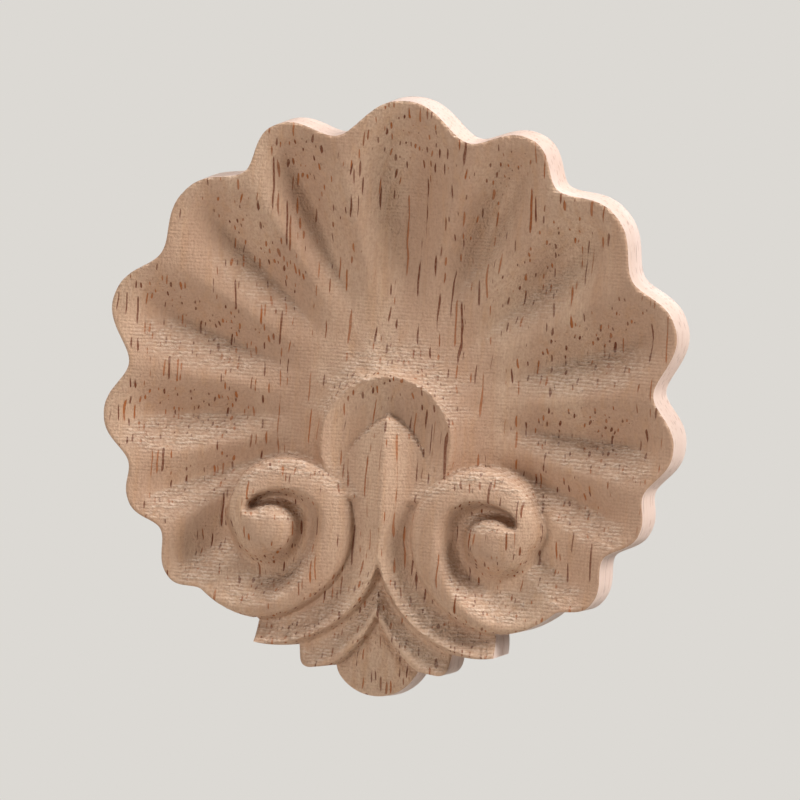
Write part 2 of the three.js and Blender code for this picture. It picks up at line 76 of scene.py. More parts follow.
# Shell: lobes as angle of the tip, its reach, angle of the next notch, the notch's reach, and
# the share of a flute's half width over which its floor is rounded
HUB_Z = -2.0
LOBES = np.array([
    (0, 43.4, 13.5, 39.2, 0.75),
    (24.7, 43.0, 34.2, 39.1, 0.1),
    (45.5, 42.05, 58.2, 38.85, 0.08),
    (69.5, 41.85, 82.6, 37.1, 0.08),
    (93.6, 40.05, 104, 37.2, 0.08),
    (111.5, 38.6, 120, 35.9, 0.08),
    (129.5, 38.45, 136.5, 35.9, 0.15),
])
LAST_NOTCH, LAST_NOTCH_REACH = LOBES[-1, 2:4]
LOBE_FULLNESS = 1.2
FLUTE_DEPTH = 2.9
FLUTE_SHARPNESS = 1.6
FLUTE_START = 11.0
FLUTE_FULL_ANGLE = 21.0
FLUTE_RUN_OUT = 1.1
FLUTE_LEAN = 1.7
FLUTE_LOSS_SPREAD = 9.0
RIM_FLAT = 2.0
DISH_DEPTH = 4.9
DISH_LEAN = 0.55

# Round recess around the leaf's tip, with the part of its edge that shows, in degrees
RING_Z = -6.0
RING_RADIUS = 9.3
RING_SWEEP = 120
RECESS_DEPTH = 2.4
RECESS_RUN = [(-9, 9), (2, 5)]

# Scrolls around their eyes, by degrees of turn from the shell's last notch
EYE_X = 15.9
EYE_Z = -18.4
EYE_HEIGHT = 12.87
EYE_ROUNDING = 1.5
EYE_FLATNESS = 3.0
EYE_FOOT = 2.2
FOOT_STARTS = 262.0
FOOT_FULL = 310.0
HOLLOW_LOWEST = 0.4
SCROLL_EDGE = [
    (0, 13.05), (40, 13.0), (75, 12.05), (115, 11.75), (160, 11.8), (190, 10.7), (225, 9.2),
    (255, 8.0), (278, 6.4), (300, 5.2), (330, 4.15), (360, 3.95), (420, 3.8),
]
SCROLL_LIP = [
    (0, 12.4), (38, 11.5), (75, 9.5), (105, 8.2), (155, 8.0), (178, 6.9), (213, 5.2),
    (260, 4.4), (278, 4.05), (330, 2.4), (420, 2.2),
]
BUTTON_EDGE = [(55, 3.8), (115, 3.6), (160, 3.5), (190, 3.2), (230, 2.9), (278, 3.2)]
LIP_FALL = [(0, 2.1), (40, 0.3), (120, 0.8), (210, 0.9), (278, 0.5), (420, 0.4)]
HOLLOW_FALL = [(0, 4.4), (55, 4.4), (110, 4.0), (160, 4.0), (210, 4.6), (278, 4.6)]
SCROLL_ROUNDING = 2.2
SCROLL_BLEND_END = 55.0
LIP_SHARPENS = 120.0
LIP_SHARP = 230.0
HOLLOW_CLOSES = 262.0
HOLLOW_CLOSED = 286.0
SCROLL_INNER_END = 415.0

# Leaf
LEAF_TIP_Z = -2.2
LEAF_WIDEST_Z = -12.0
LEAF_HALF_WIDTH = 6.2
LEAF_RIDGE = [(-24, 11.9), (-12, 11.9), (-6, 11.2), (-2.2, 10.4)]
LEAF_FALL = [(-24, 2.9), (-12, 2.9), (-2.2, 1.0)]
LEAF_HOLLOWNESS = 1.8
LEAF_RIDGE_ROUNDING = 0.45
LEAF_ENDS_Z = -20.5
LEAF_TURNS_Z = -14.0

# Strips around the eye, and the tongue
STRIPS_OUTER_X = 17.9
STRIP_END_TURN = 39.0
STRIP_END_REACH = 16.2
UPPER_CREST = 16.2
UPPER_GROOVE = 17.1
UPPER_CREST_HEIGHT = 11.8
UPPER_HOLLOWNESS = 1.6
STRIP_FOOT_HEIGHT = 9.0
GROOVE_HEIGHT = [(55, 9.6), (90, 9.0), (115, 8.4)]
LOWER_END_TURN = 60.0
LOWER_CENTRE_X = 17.5
LOWER_CENTRE_Z = -22.0
LOWER_GROOVE = 19.3
LOWER_CREST_HEIGHT = 10.9
LOWER_CREST_SHARE = 0.8
LOWER_HOLLOWNESS = 1.3
LOWER_END_DROP = 3.2
LOWER_END_LEAN = 0.5
LOWER_ROUNDING = 1.6
CREASE_END_TURN = 110.0
CREASE_END_ANGLE = 240.0
TONGUE_Z = -35.3
TONGUE_RADIUS = 6.2
TONGUE_HALF_WIDTH = 5.9
TONGUE_HEIGHT = [(-41.5, 7.0), (-36, 8.3), (-29, 9.2)]
TONGUE_ROUNDING = 1.2
TONGUE_ROUNDING_RUN = 1.8

# Mesh. Its first four sizes are shares of its step: the step along the outline and the carved
# lines, how far loose corners are shifted, and how far corners keep from the middle and from lines
LINE_STEP = 1.2
LOOSE_SHIFT = 0.12
MIDDLE_GAP = 0.3
LINE_GAP = 0.6
LOOSE_SEED = 7
CURVE_SAMPLES = 2000
MIDDLE_WIDTH = 1e-4
FRONT_MERGE = 1e-5
BACK_MERGE = 1e-6
SOFTENING_ROUNDS = 2
RIM_SMOOTHING = 5

# Wear: slopes on which the grain tears, how wide the arris and its splinters reach, and noises
# as layers of share, size of the features across and along the grain, and seed
SLOPE_REACH = 0.3
TORN_FROM_SLOPE = 0.12
TORN_FULL_SLOPE = 0.6
TORN_NOISE = [(1, 0.45, 1.1, 11), (0.6, 0.3, 0.5, 12)]
RIPPLE_NOISE = [(0.05, 3.1, 4.3, 13)]
ARRIS_SPREAD = 1.5
SPLINTER_WIDTH = 0.6
SPLINTER_NOISE = [(1, 0.42, 0.7, 21), (0.3, 1.7, 2.0, 22)]
NOISE_CELLS = 256
NOISE_SHIFT_X = 1000.37
NOISE_SHIFT_Z = 1000.71


def linear(code):
    """Linear colour from an sRGB hex value"""
    parts = [int(code[i:i + 2], 16) / 255 for i in (1, 3, 5)]
    return [c / 12.92 if c <= 0.04045 else ((c + 0.055) / 1.055) ** 2.4 for c in parts]


# Height functions


def along(stations, place):
    """Smooth curve through stations (place, value), read at an array of places"""
    at, value = np.array(stations, float).T
    i = np.searchsorted(at[1:-1], place)
    before = np.maximum(i - 1, 0)
    after = np.minimum(i + 2, len(at) - 1)
    width = at[i + 1] - at[i]
    leaving = width * (value[i + 1] - value[before]) / (at[i + 1] - at[before])
    arriving = width * (value[after] - value[i]) / (at[after] - at[i])
    t = np.clip((place - at[i]) / width, 0, 1)
    swell = t * t * (3 - 2 * t)
    curve = value[i] + (value[i + 1] - value[i]) * swell
    return curve + t * (1 - t) ** 2 * leaving - t * t * (1 - t) * arriving


def smoothstep(value, low, high):
    """Rise from 0 at low to 1 at high, level at both ends"""
    t = np.clip((value - low) / (high - low), 0, 1)
    return t * t * (3 - 2 * t)


def quarter_round(t):
    """Fall of a quarter circle, 0 at the crest and 1 at the edge"""
    return 1 - np.sqrt(1 - np.clip(t, 0, 1) ** 2)


def hub_place(angle, reach):
    """Places (x, z) at angles and distances from the hub"""
    a = np.radians(angle)
    return np.column_stack(np.broadcast_arrays(reach * np.sin(a), HUB_Z + reach * np.cos(a)))


LAST_NOTCH_PLACE = hub_place(LAST_NOTCH, LAST_NOTCH_REACH)[0]
SCROLL_START = math.atan2(LAST_NOTCH_PLACE[1] - EYE_Z, LAST_NOTCH_PLACE[0] - EYE_X)


def from_eye(x, z):
    """Turn around the eye in degrees, and distance from it"""
    clockwise = SCROLL_START - np.arctan2(z - EYE_Z, x - EYE_X)
    return np.degrees(clockwise) % 360, np.hypot(x - EYE_X, z - EYE_Z)


def eye_place(turn, reach):
    """Places (x, z) at turns and distances from the eye"""
    a = SCROLL_START - np.radians(turn)
    return np.column_stack(np.broadcast_arrays(EYE_X + reach * np.cos(a), EYE_Z + reach * np.sin(a)))


def lobe_at(angle):
    """Lobe number, width of its angle, reach of its nearer notch, and offset from its tip"""
    i = np.searchsorted(LOBES[:-1, 2], angle)
    previous = np.concatenate([[-LOBES[0, 2]], LOBES[:-1, 2]])[i]
    previous_reach = np.concatenate([[LOBES[0, 3]], LOBES[:-1, 3]])[i]
    tip, _, notch, notch_reach, _ = LOBES[i].T
    after = angle > tip
    side = np.where(after, notch, previous)
    offset = np.minimum((angle - tip) / (side - tip), 1)
    return i, notch - previous, np.where(after, notch_reach, previous_reach), offset


def rim_reach(angle):
    """Distance of the wavy rim from the hub"""
    i, _, notch_reach, offset = lobe_at(angle)
    swell = 0.5 + 0.5 * np.cos(np.pi * np.abs(offset) ** LOBE_FULLNESS)
    return notch_reach + (LOBES[i, 1] - notch_reach) * swell


def flute_depth(angle, reach, inside):
    """Flutes: sharp on a lobe's middle, rounded at its notches, running out at rim and hub"""
    i, width, _, offset = lobe_at(angle)
    floor = LOBES[i, 4]
    across = (np.hypot(offset, floor) - floor) / (np.hypot(1, floor) - floor)
    valley = (1 - np.clip(across, 0, 1)) ** FLUTE_SHARPNESS
    room = np.maximum(reach + inside - RIM_FLAT - FLUTE_START, 1)
    p = np.clip((reach - FLUTE_START) / room, 0, 1) ** FLUTE_LEAN
    run = (4 * p * (1 - p)) ** FLUTE_RUN_OUT
    narrow = np.minimum(width / FLUTE_FULL_ANGLE, 1)
    return np.where(angle > LAST_NOTCH, 0, FLUTE_DEPTH * narrow * valley * run)


def shell_height(x, z):
    """Fluted dish between the rim and the round recess"""
    angle = np.degrees(np.arctan2(x, z - HUB_Z))
    reach = np.hypot(x, z - HUB_Z)
    inside = rim_reach(angle) - reach
    from_ring = np.hypot(x, z - RING_Z) - RING_RADIUS
    by_eye = np.exp(-(from_eye(x, z)[1] / FLUTE_LOSS_SPREAD) ** 2)
    sink = 1 - (1 - np.clip(-from_ring / along(RECESS_RUN, z), 0, 1)) ** 2
    beyond = np.maximum(from_ring, 0)
    share = beyond / (beyond + np.maximum(inside, 0) + 1e-9)
    dish = DISH_DEPTH * np.sin(np.pi * share ** DISH_LEAN)
    flute = flute_depth(angle, reach, inside) * (1 - by_eye)
    return RIM_HEIGHT - np.where(from_ring < 0, RECESS_DEPTH * sink, dish + flute)


def scroll_height(turn, reach):
    """Scroll band with its hollow, and the button-like eye that it ends in"""
    edge = along(SCROLL_EDGE, turn)
    dome = EYE_HEIGHT - EYE_ROUNDING * np.minimum(reach / edge, 1) ** EYE_FLATNESS
    lip = along(SCROLL_LIP, turn)
    lip_height = EYE_HEIGHT - along(LIP_FALL, turn)
    outer = lip_height - SCROLL_ROUNDING * quarter_round((reach - lip) / (edge - lip))
    button = along(BUTTON_EDGE, turn)
    top = EYE_HEIGHT - EYE_ROUNDING * np.minimum(reach / button, 1) ** EYE_FLATNESS
    floor = EYE_HEIGHT - along(HOLLOW_FALL, turn)
    lowest = button + (lip - button) * HOLLOW_LOWEST
    side = (lowest - reach) / (lowest - button)
    down = floor + (EYE_HEIGHT - EYE_ROUNDING - floor) * side ** 2
    t = np.clip((reach - lowest) / (lip - lowest), 0, 1)
    sharp = smoothstep(turn, LIP_SHARPENS, LIP_SHARP)
    up = floor + (lip_height - floor) * ((t * t * (3 - 2 * t)) * (1 - sharp) + t * t * sharp)
    band = np.select([reach > lip, reach < button, reach < lowest], [outer, top, down], up)
    return band + (dome - band) * smoothstep(turn, HOLLOW_CLOSES, HOLLOW_CLOSED)


def footed(height, turn, reach):
    """Height beside the scroll's inner end, which has a sloping foot instead of a step"""
    inner_turn = np.where(turn < SCROLL_INNER_END - 360, turn + 360, turn)
    width = EYE_FOOT * smoothstep(inner_turn, FOOT_STARTS, FOOT_FULL)
    share = smoothstep((reach - along(SCROLL_EDGE, inner_turn)) / np.maximum(width, 0.01), 0, 1)
    edge_height = EYE_HEIGHT - EYE_ROUNDING
    return edge_height + (height - edge_height) * share


def leaf_half_width(z):
    """Half the width of the leaf, which ends in a pointed arch"""
    length = LEAF_TIP_Z - LEAF_WIDEST_Z
    radius = (LEAF_HALF_WIDTH ** 2 + length ** 2) / (2 * LEAF_HALF_WIDTH)
    rise = np.clip(z - LEAF_WIDEST_Z, 0, length)
    return LEAF_HALF_WIDTH - radius + np.sqrt(radius ** 2 - rise ** 2)


def leaf_height(x, z):
    """Leaf that falls hollow from its ridge to both edges"""
    half_width = leaf_half_width(z)
    span = np.maximum(half_width, 0.01)
    t = np.clip((np.hypot(x, LEAF_RIDGE_ROUNDING) - LEAF_RIDGE_ROUNDING) / span, 0, 1)
    height = along(LEAF_RIDGE, z) - along(LEAF_FALL, z) * (1 - (1 - t) ** LEAF_HOLLOWNESS)
    return np.where((z > LEAF_TIP_Z) | (x > half_width), 0, height)


def strip_height(x, z):
    """Two strips around the scroll's bottom, and the tongue below them"""
    turn, reach = from_eye(x, z)
    groove = along(GROOVE_HEIGHT, turn)
    edge = along(SCROLL_EDGE, turn)
    climb = np.clip((reach - edge) / (UPPER_CREST - edge), 0, 1) ** UPPER_HOLLOWNESS
    upper = STRIP_FOOT_HEIGHT + (UPPER_CREST_HEIGHT - STRIP_FOOT_HEIGHT) * climb
    fall = smoothstep(reach, UPPER_CREST, UPPER_GROOVE)
    step = UPPER_CREST_HEIGHT + (groove - UPPER_CREST_HEIGHT) * fall
    beyond = np.hypot(x - LOWER_CENTRE_X, z - LOWER_CENTRE_Z) - LOWER_GROOVE
    width = np.maximum(reach - UPPER_GROOVE - beyond, 0.01)
    t = np.clip((reach - UPPER_GROOVE) / width, 0, 1)
    rise = np.minimum(t / LOWER_CREST_SHARE, 1) ** LOWER_HOLLOWNESS
    fall = quarter_round((t - LOWER_CREST_SHARE) / (1 - LOWER_CREST_SHARE))
    lower = groove + (LOWER_CREST_HEIGHT - groove) * rise - fall
    side = 1 - np.clip(beyond / TONGUE_ROUNDING_RUN, 0, 1)
    tongue = along(TONGUE_HEIGHT, z) - TONGUE_ROUNDING * side * side
    choices = [reach < UPPER_CREST, reach < UPPER_GROOVE, beyond < 0]
    return np.select(choices, [upper, step, lower], tongue)


def relief(across, z):
    """Height of the carving above the flat back"""
    x = np.abs(across)
    turn, reach = from_eye(x, z)
    inner_turn = turn + 360
    shell = footed(shell_height(x, z), turn, reach)
    leaf = leaf_height(x, z)
    strips = strip_height(x, z)
    scroll = scroll_height(turn, reach)
    scroll = shell + (scroll - shell) * smoothstep(turn, 0, SCROLL_BLEND_END)
    inner = scroll_height(inner_turn, reach)
    leaf_share = smoothstep(z, LEAF_ENDS_Z, LEAF_TURNS_Z)
    lower = strips + (np.maximum(leaf, strips) - strips) * leaf_share
    choices = [
        (inner_turn < SCROLL_INNER_END) & (reach < along(SCROLL_EDGE, inner_turn)),
        reach < along(SCROLL_EDGE, turn),
        (x < STRIPS_OUTER_X) & (z < LEAF_TURNS_Z),
    ]
    return np.select(choices, [inner, scroll, lower], np.maximum(shell, leaf))


# Outline and carved lines


def resample(points, step):
    """The same line with even steps"""
    points = np.asarray(points)
    length = np.concatenate([[0], np.cumsum(np.hypot(*np.diff(points, axis=0).T))])
    count = max(math.ceil(length[-1] / step), 1)
    at = np.linspace(0, length[-1], count + 1)
    return np.column_stack([np.interp(at, length, points[:, k]) for k in (0, 1)])


def half_outline(step):
    """Right half of the outline, from the top of the middle line round to its bottom"""
    t = np.linspace(0, 1, CURVE_SAMPLES)
    angle = t * LAST_NOTCH
    lobes = hub_place(angle, rim_reach(angle))
    turn = t * STRIP_END_TURN
    bell = eye_place(turn, along(SCROLL_EDGE, turn))
    upper_corner = eye_place(STRIP_END_TURN, STRIP_END_REACH)[0]
    upper_edge = eye_place(
        STRIP_END_TURN + t * (LOWER_END_TURN - STRIP_END_TURN),
        STRIP_END_REACH + t * (UPPER_GROOVE - STRIP_END_REACH),
    )
    lower_top = upper_edge[-1]
    lower_corner = lower_top - (LOWER_END_LEAN, LOWER_END_DROP)
    start = math.acos(TONGUE_HALF_WIDTH / TONGUE_RADIUS)
    a = start + t * (math.pi / 2 - start)
    tongue = np.column_stack([TONGUE_RADIUS * np.cos(a), TONGUE_Z - TONGUE_RADIUS * np.sin(a)])
    toward = []
    for end in (lower_top, tongue[0]):
        way = end - lower_corner
        toward.append(lower_corner + way / np.hypot(*way) * LOWER_ROUNDING)
    s = t[:, None]
    rounding = (1 - s) ** 2 * toward[0] + 2 * s * (1 - s) * lower_corner + s ** 2 * toward[1]
    lines = [
        lobes,
        bell,
        [bell[-1], upper_corner],
        upper_edge,
        [lower_top, toward[0]],
        rounding,
        [toward[1], tongue[0]],
        tongue,
    ]
    points = np.concatenate([resample(line, step)[:-1] for line in lines] + [tongue[-1:]])
    points[[0, -1], 0] = 0
    return points


def carved_lines(step, gap):
    """Lines that the mesh follows: two rows on each step of the relief, one on each crest"""
    t = np.linspace(0, 1, CURVE_SAMPLES)

    def around(start, end, stations):
        turn = start + t * (end - start)
        return eye_place(turn, along(stations, turn))

    def level(start, reach):
        return eye_place(start + t * (CREASE_END_TURN - start), reach)

    a = np.radians(180 + t * (CREASE_END_ANGLE - 180))
    lower = np.column_stack([np.cos(a), np.sin(a)]) * LOWER_GROOVE
    z = LEAF_TIP_Z + t * (LEAF_WIDEST_Z - LEAF_TIP_Z)
    steps = [
        around(STRIP_END_TURN, 360 + STRIP_END_TURN, SCROLL_EDGE),
        around(BUTTON_EDGE[0][0], HOLLOW_CLOSES, BUTTON_EDGE),
        lower + (LOWER_CENTRE_X, LOWER_CENTRE_Z),
        np.column_stack([leaf_half_width(z), z]),
    ]
    a = np.radians(90 - RING_SWEEP * t)
    ring = np.column_stack([np.cos(a), np.sin(a)]) * RING_RADIUS
    lines = [
        around(STRIP_END_TURN, HOLLOW_CLOSES, SCROLL_LIP),
        level(STRIP_END_TURN, UPPER_CREST),
        level(LOWER_END_TURN, UPPER_GROOVE),
        ring + (0, RING_Z),
    ]
    rows = [resample(line, step) for line in lines]
    for line in steps:
        row = resample(line, step)
        way = np.gradient(row, axis=0)
        side = np.column_stack([-way[:, 1], way[:, 0]]) / np.hypot(*way.T)[:, None]
        rows += [row + side * gap / 2, row - side * gap / 2]
    return rows


def inside_outline(points, outline):
    """Which points lie inside the outline"""
    x, z = points.T
    inside = np.zeros(len(points), bool)
    for (ax, az), (bx, bz) in zip(outline, np.roll(outline, -1, axis=0)):
        if az == bz:
            continue
        crosses = (az > z) != (bz > z)
        inside ^= crosses & (x < ax + (bx - ax) * (z - az) / (bz - az))
    return inside


def noise(x, z, cell_x, cell_z, seed):
    """Smooth noise from -1 to 1 with features of about cell_x by cell_z"""
    table = np.random.default_rng(seed).uniform(-1, 1, (NOISE_CELLS, NOISE_CELLS))
    u = x / cell_x + NOISE_SHIFT_X
    v = z / cell_z + NOISE_SHIFT_Z
    i = np.floor(u).astype(int)
    j = np.floor(v).astype(int)
    s = (u - i) ** 2 * (3 - 2 * (u - i))
    t = (v - j) ** 2 * (3 - 2 * (v - j))
    corners = [table[(i + k) % NOISE_CELLS, (j + m) % NOISE_CELLS] for k in (0, 1) for m in (0, 1)]
    low = corners[0] + (corners[1] - corners[0]) * t
    high = corners[2] + (corners[3] - corners[2]) * t
    return low + (high - low) * s


def noises(x, z, layers):
    """Sum of noises, each with its share"""
    return sum(share * noise(x, z, *layer) for share, *layer in layers)


def search_tree(places):
    """Tree that finds the nearest of some places (x, z)"""
    tree = KDTree(len(places))
    for i, (x, z) in enumerate(places):
        tree.insert((x, z, 0), i)
    tree.balance()
    return tree


def loose_corners(fine, border, bottom, top, lines):
    """Corners between the lines, on a slightly shifted grid of triangles"""
    z_rows = np.arange(bottom, top, fine * math.sqrt(0.75))
    x_places = np.arange(0, LOBES[:, 1].max(), fine)
    grid_x, grid_z = np.meshgrid(x_places, z_rows)
    grid_x = grid_x + (np.arange(len(z_rows)) % 2)[:, None] * fine / 2
    grid = np.column_stack([grid_x.ravel(), grid_z.ravel()])
    draw = np.random.default_rng(LOOSE_SEED)
    grid = grid + draw.uniform(-LOOSE_SHIFT, LOOSE_SHIFT, grid.shape) * fine
    grid = grid[inside_outline(grid, border)]
    clear = [lines.find((x, z, 0))[2] > LINE_GAP * fine for x, z in grid]
    return grid[clear]


def mirrored(corners, triangles):
    """The right half and its mirror image, joined on the middle line"""
    on_middle = np.abs(corners[:, 0]) < MIDDLE_WIDTH
    corners[on_middle, 0] = 0
    mirror = np.arange(len(corners))
    mirror[~on_middle] = len(corners) + np.arange((~on_middle).sum())
    left = corners[~on_middle] * (-1, 1)
    triangles = np.concatenate([triangles, mirror[triangles[:, ::-1]]])
    return np.concatenate([corners, left]), triangles


def front_mesh(sizes):
    """Corners (x, z) and triangles of the whole front, as seen from the carved side"""
    fine = sizes.mesh_step / MM
    outline = half_outline(LINE_STEP * fine)
    bottom = outline[-1, 1]
    top = outline[0, 1]
    middle = np.zeros((math.ceil((top - bottom) / fine) - 1, 2))
    middle[:, 1] = np.linspace(bottom, top, len(middle) + 2)[1:-1]
    border = np.concatenate([outline, middle])
    points = [border]
    edges = [(i, (i + 1) % len(border)) for i in range(len(border))]
    start = len(border)
    for row in carved_lines(LINE_STEP * fine, sizes.step_width / MM):
        keep = inside_outline(row, border) & (row[:, 0] > MIDDLE_GAP * fine)
        number = start + np.cumsum(keep) - 1
        for k in range(len(row) - 1):
            if keep[k] and keep[k + 1]:
                edges.append((int(number[k]), int(number[k + 1])))
        points.append(row[keep])
        start += int(keep.sum())
    placed = np.concatenate(points)
    loose = loose_corners(fine, border, bottom, top, search_tree(placed))
    placed = [Vector(p) for p in np.concatenate([placed, loose])]
    found = delaunay_2d_cdt(placed, edges, [list(range(len(border)))], 1, FRONT_MERGE)
    return mirrored(np.array(found[0]), np.array(found[2]))


def rim_round(triangles):
    """The border of the front, as one closed round of corner numbers"""
    directed = np.concatenate([triangles[:, [0, 1]], triangles[:, [1, 2]], triangles[:, [2, 0]]])
    known = set(map(tuple, directed.tolist()))
    following = {a: b for a, b in known if (b, a) not in known}
    at = next(iter(following))
    round_trip = []
    while len(round_trip) < len(following):
        round_trip.append(at)
        at = following[at]
    return np.array(round_trip)


def outwards(loop, reach):
    """Unit vectors that point out of a closed counter-clockwise loop of places"""
    way = np.roll(loop, -reach, axis=0) - np.roll(loop, reach, axis=0)
    return np.column_stack([way[:, 1], -way[:, 0]]) / np.hypot(*way.T)[:, None]


def softened(height, triangles, fixed, rounds):
    """Heights with each corner drawn half way to the mean of its neighbours, some rounds"""
    pairs = np.concatenate([triangles[:, [0, 1]], triangles[:, [1, 2]], triangles[:, [2, 0]]])
    count = np.bincount(pairs[:, 0], minlength=len(height))
    for _ in range(rounds):
        total = np.bincount(pairs[:, 0], height[pairs[:, 1]], minlength=len(height))
        mean = total / np.maximum(count, 1)
        height = np.where(fixed, height, (height + mean) / 2)
    return height


def worn_height(corners, triangles, rim, way_out, sizes):
    """Height of the carving with torn grain, a soft arris and splinters out of the upper rim"""
    x, z = corners.T
    is_rim = np.zeros(len(corners), bool)
    is_rim[rim] = True
    height = softened(relief(x, z), triangles, is_rim, SOFTENING_ROUNDS)
    # Torn fibres stand where the cutter climbed against the grain, on slopes that face up
    slope = (relief(x, z - SLOPE_REACH) - relief(x, z + SLOPE_REACH)) / (2 * SLOPE_REACH)
    torn = smoothstep(slope, TORN_FROM_SLOPE, TORN_FULL_SLOPE)
    tear = sizes.tear_depth / MM * torn * noises(x, z, TORN_NOISE)
    height = height + tear + noises(x, z, RIPPLE_NOISE)
    # The arris is a little rounded, and short splinters are broken out where the rim faces up
    tree = search_tree(corners[rim])
    near = [tree.find((px, pz, 0)) for px, pz in corners]
    distance = np.array([n[2] for n in near])
    faces_up = np.clip(way_out[[n[1] for n in near], 1], 0, 1)
    arris = sizes.arris / MM
    rounding = arris * np.clip(1 - distance / (ARRIS_SPREAD * arris), 0, 1) ** 2
    chip = np.clip(noises(x, z, SPLINTER_NOISE), 0, 1)
    by_rim = np.clip(1 - distance / SPLINTER_WIDTH, 0, 1)
    splinter = sizes.chip_depth / MM * chip * by_rim * faces_up
    return np.minimum(height - rounding - splinter, EYE_HEIGHT)


def applique_mesh(sizes):
    """Mesh of the whole piece: front, side walls and back, with the material number of each"""
    corners, triangles = front_mesh(sizes)
    rim = rim_round(triangles)
    rim_places = corners[rim]
    way_out = outwards(rim_places, RIM_SMOOTHING)
    height = worn_height(corners, triangles, rim, way_out, sizes)
    points = [np.column_stack([corners[:, 0], -height, corners[:, 1]])]
    for row in range(1, WALL_ROWS + 1):
        share = row / WALL_ROWS
        place = rim_places + way_out * WALL_SPREAD * share
        depth = -height[rim] * (1 - share)
        points.append(np.column_stack([place[:, 0], depth, place[:, 1]]))
    points = np.concatenate(points)
    count = len(rim)
    rows = [rim] + [len(corners) + row * count + np.arange(count) for row in range(WALL_ROWS)]
    walls = []
    for upper, lower in zip(rows[:-1], rows[1:]):
        after = np.roll(upper, -1)
        lower_after = np.roll(lower, -1)
        walls.append(np.column_stack([after, upper, lower]))
        walls.append(np.column_stack([after, lower, lower_after]))
    foot = [Vector(p) for p in points[rows[-1]][:, [0, 2]]]
    found = delaunay_2d_cdt(foot, [], [list(range(count))], 1, BACK_MERGE)
    if len(found[0]) != count:
        raise RuntimeError("the back's outline crosses itself")
    back = rows[-1][np.array([[found[3][c][0] for c in f] for f in found[2]])[:, ::-1]]
    faces = np.concatenate([triangles] + walls + [back])
    kind = np.repeat([0, 1, 2], [len(triangles), 2 * count * WALL_ROWS, len(back)])
    mesh = bpy.data.meshes.new(NODE + "_carving")
    mesh.from_pydata((points * MM).tolist(), [], faces.tolist())
    mesh.polygons.foreach_set("material_index", kind)
    mesh.shade_smooth()
    mesh.set_sharp_from_angle(angle=sizes.sharp_angle)
    if mesh.validate():
        raise RuntimeError("the carving's mesh had faces that had to be mended")
    return mesh


# Materials


def add(tree, kind, inputs=None, **settings):
    """Adds a node with its settings. An input is a value, a socket or a node, for its first output"""
    node = tree.nodes.new(kind)
    for name, value in settings.items():
        setattr(node, name, value)
    for name, value in (inputs or {}).items():
        if isinstance(value, bpy.types.Node):
            value = value.outputs[0]
        if isinstance(value, bpy.types.NodeSocket):
            tree.links.new(value, node.inputs[name])
        else:
            node.inputs[name].default_value = value
    return node


MATH = "ShaderNodeMath"
MIX = "ShaderNodeMix"
RANGE = "ShaderNodeMapRange"
VECTOR_MATH = "ShaderNodeVectorMath"
SMOOTH = {"interpolation_type": "SMOOTHSTEP"}
OF_COLOURS = {"data_type": "RGBA"}

# Sockets by number, where several of a node have one name: the two ends that a range reads, the
# two that it gives, and the colours and the result of a mix
READ_LOW = 1
READ_HIGH = 2
GIVE_LOW = 3
GIVE_HIGH = 4
COLOUR_A = 6
COLOUR_B = 7
MIXED = 2

# Clouds of the wood's pattern: size of their features across, through and along the grain in
# millimetres, how many finer layers they have, and how far they are shifted from each other
CLOUDS = {
    "bands": ((7, 7, 90), 3, 0),
    "patches": ((14, 14, 26), 2, 3),
    "streaks": ((1.1, 1.1, 28), 2, 7),
    "fibres": ((0.24, 0.24, 2.4), 3, 11),
    "fuzz": ((0.5, 0.5, 0.32), 3, 23),
    "clumps": ((2.2, 2.2, 1.1), 2, 31),
    "patchy": ((6, 6, 3.5), 2, 41),
    "dull": ((1.5, 1.5, 12), 2, 53),
    "grains": ((0.32, 0.32, 0.42), 3, 83),
    "wander": ((6, 6, 13), 1, 61),
    "wiggle": ((1.7, 1.7, 5), 1, 71),
}

# Clouds that colour the wood: from where to where they do it, and how strongly
TINTS = {
    "streaks": (0.5, 0.75, 0.45),
    "fibres": (0.35, 0.75, 0.4),
    "grains": (0.48, 0.72, 0.5),
}

# Pores: how far apart they are, their largest radius, how many times they are stretched into
# the board, their soft edge as a share of the spacing, and how far they wander to the sides
PORE_SPACING = 0.62
PORE_RADIUS = 0.2
PORE_STRETCH = 1.6
PORE_EDGE = 0.08
PORE_BENDS = (("wander", 1.5), ("wiggle", 0.8))

# Rows of the cutter: their pitch, the wave node's own factor on its scale, and the profile and
# distortion of the lines that stayed and of the rows that tore. Shelves mix the torn rows with
# fuzz, and are coloured with these strengths: pale torn fibres on top, and painted shade in the
# gaps below them.
CUTTER_PITCH = 0.48
WAVE_FACTOR = 20
WAVES = (("SIN", 1.3), ("SAW", 3.6))
SHELF_ROWS = 0.5
SHELF_FUZZ = 1.6
SHELF_PALE = 0.8
SHELF_SHADE = 0.6

# Heights of the fine relief in millimetres
FIBRE_HEIGHT = 0.015
PORE_DEPTH = 0.07
SHELF_HEIGHT = 0.28


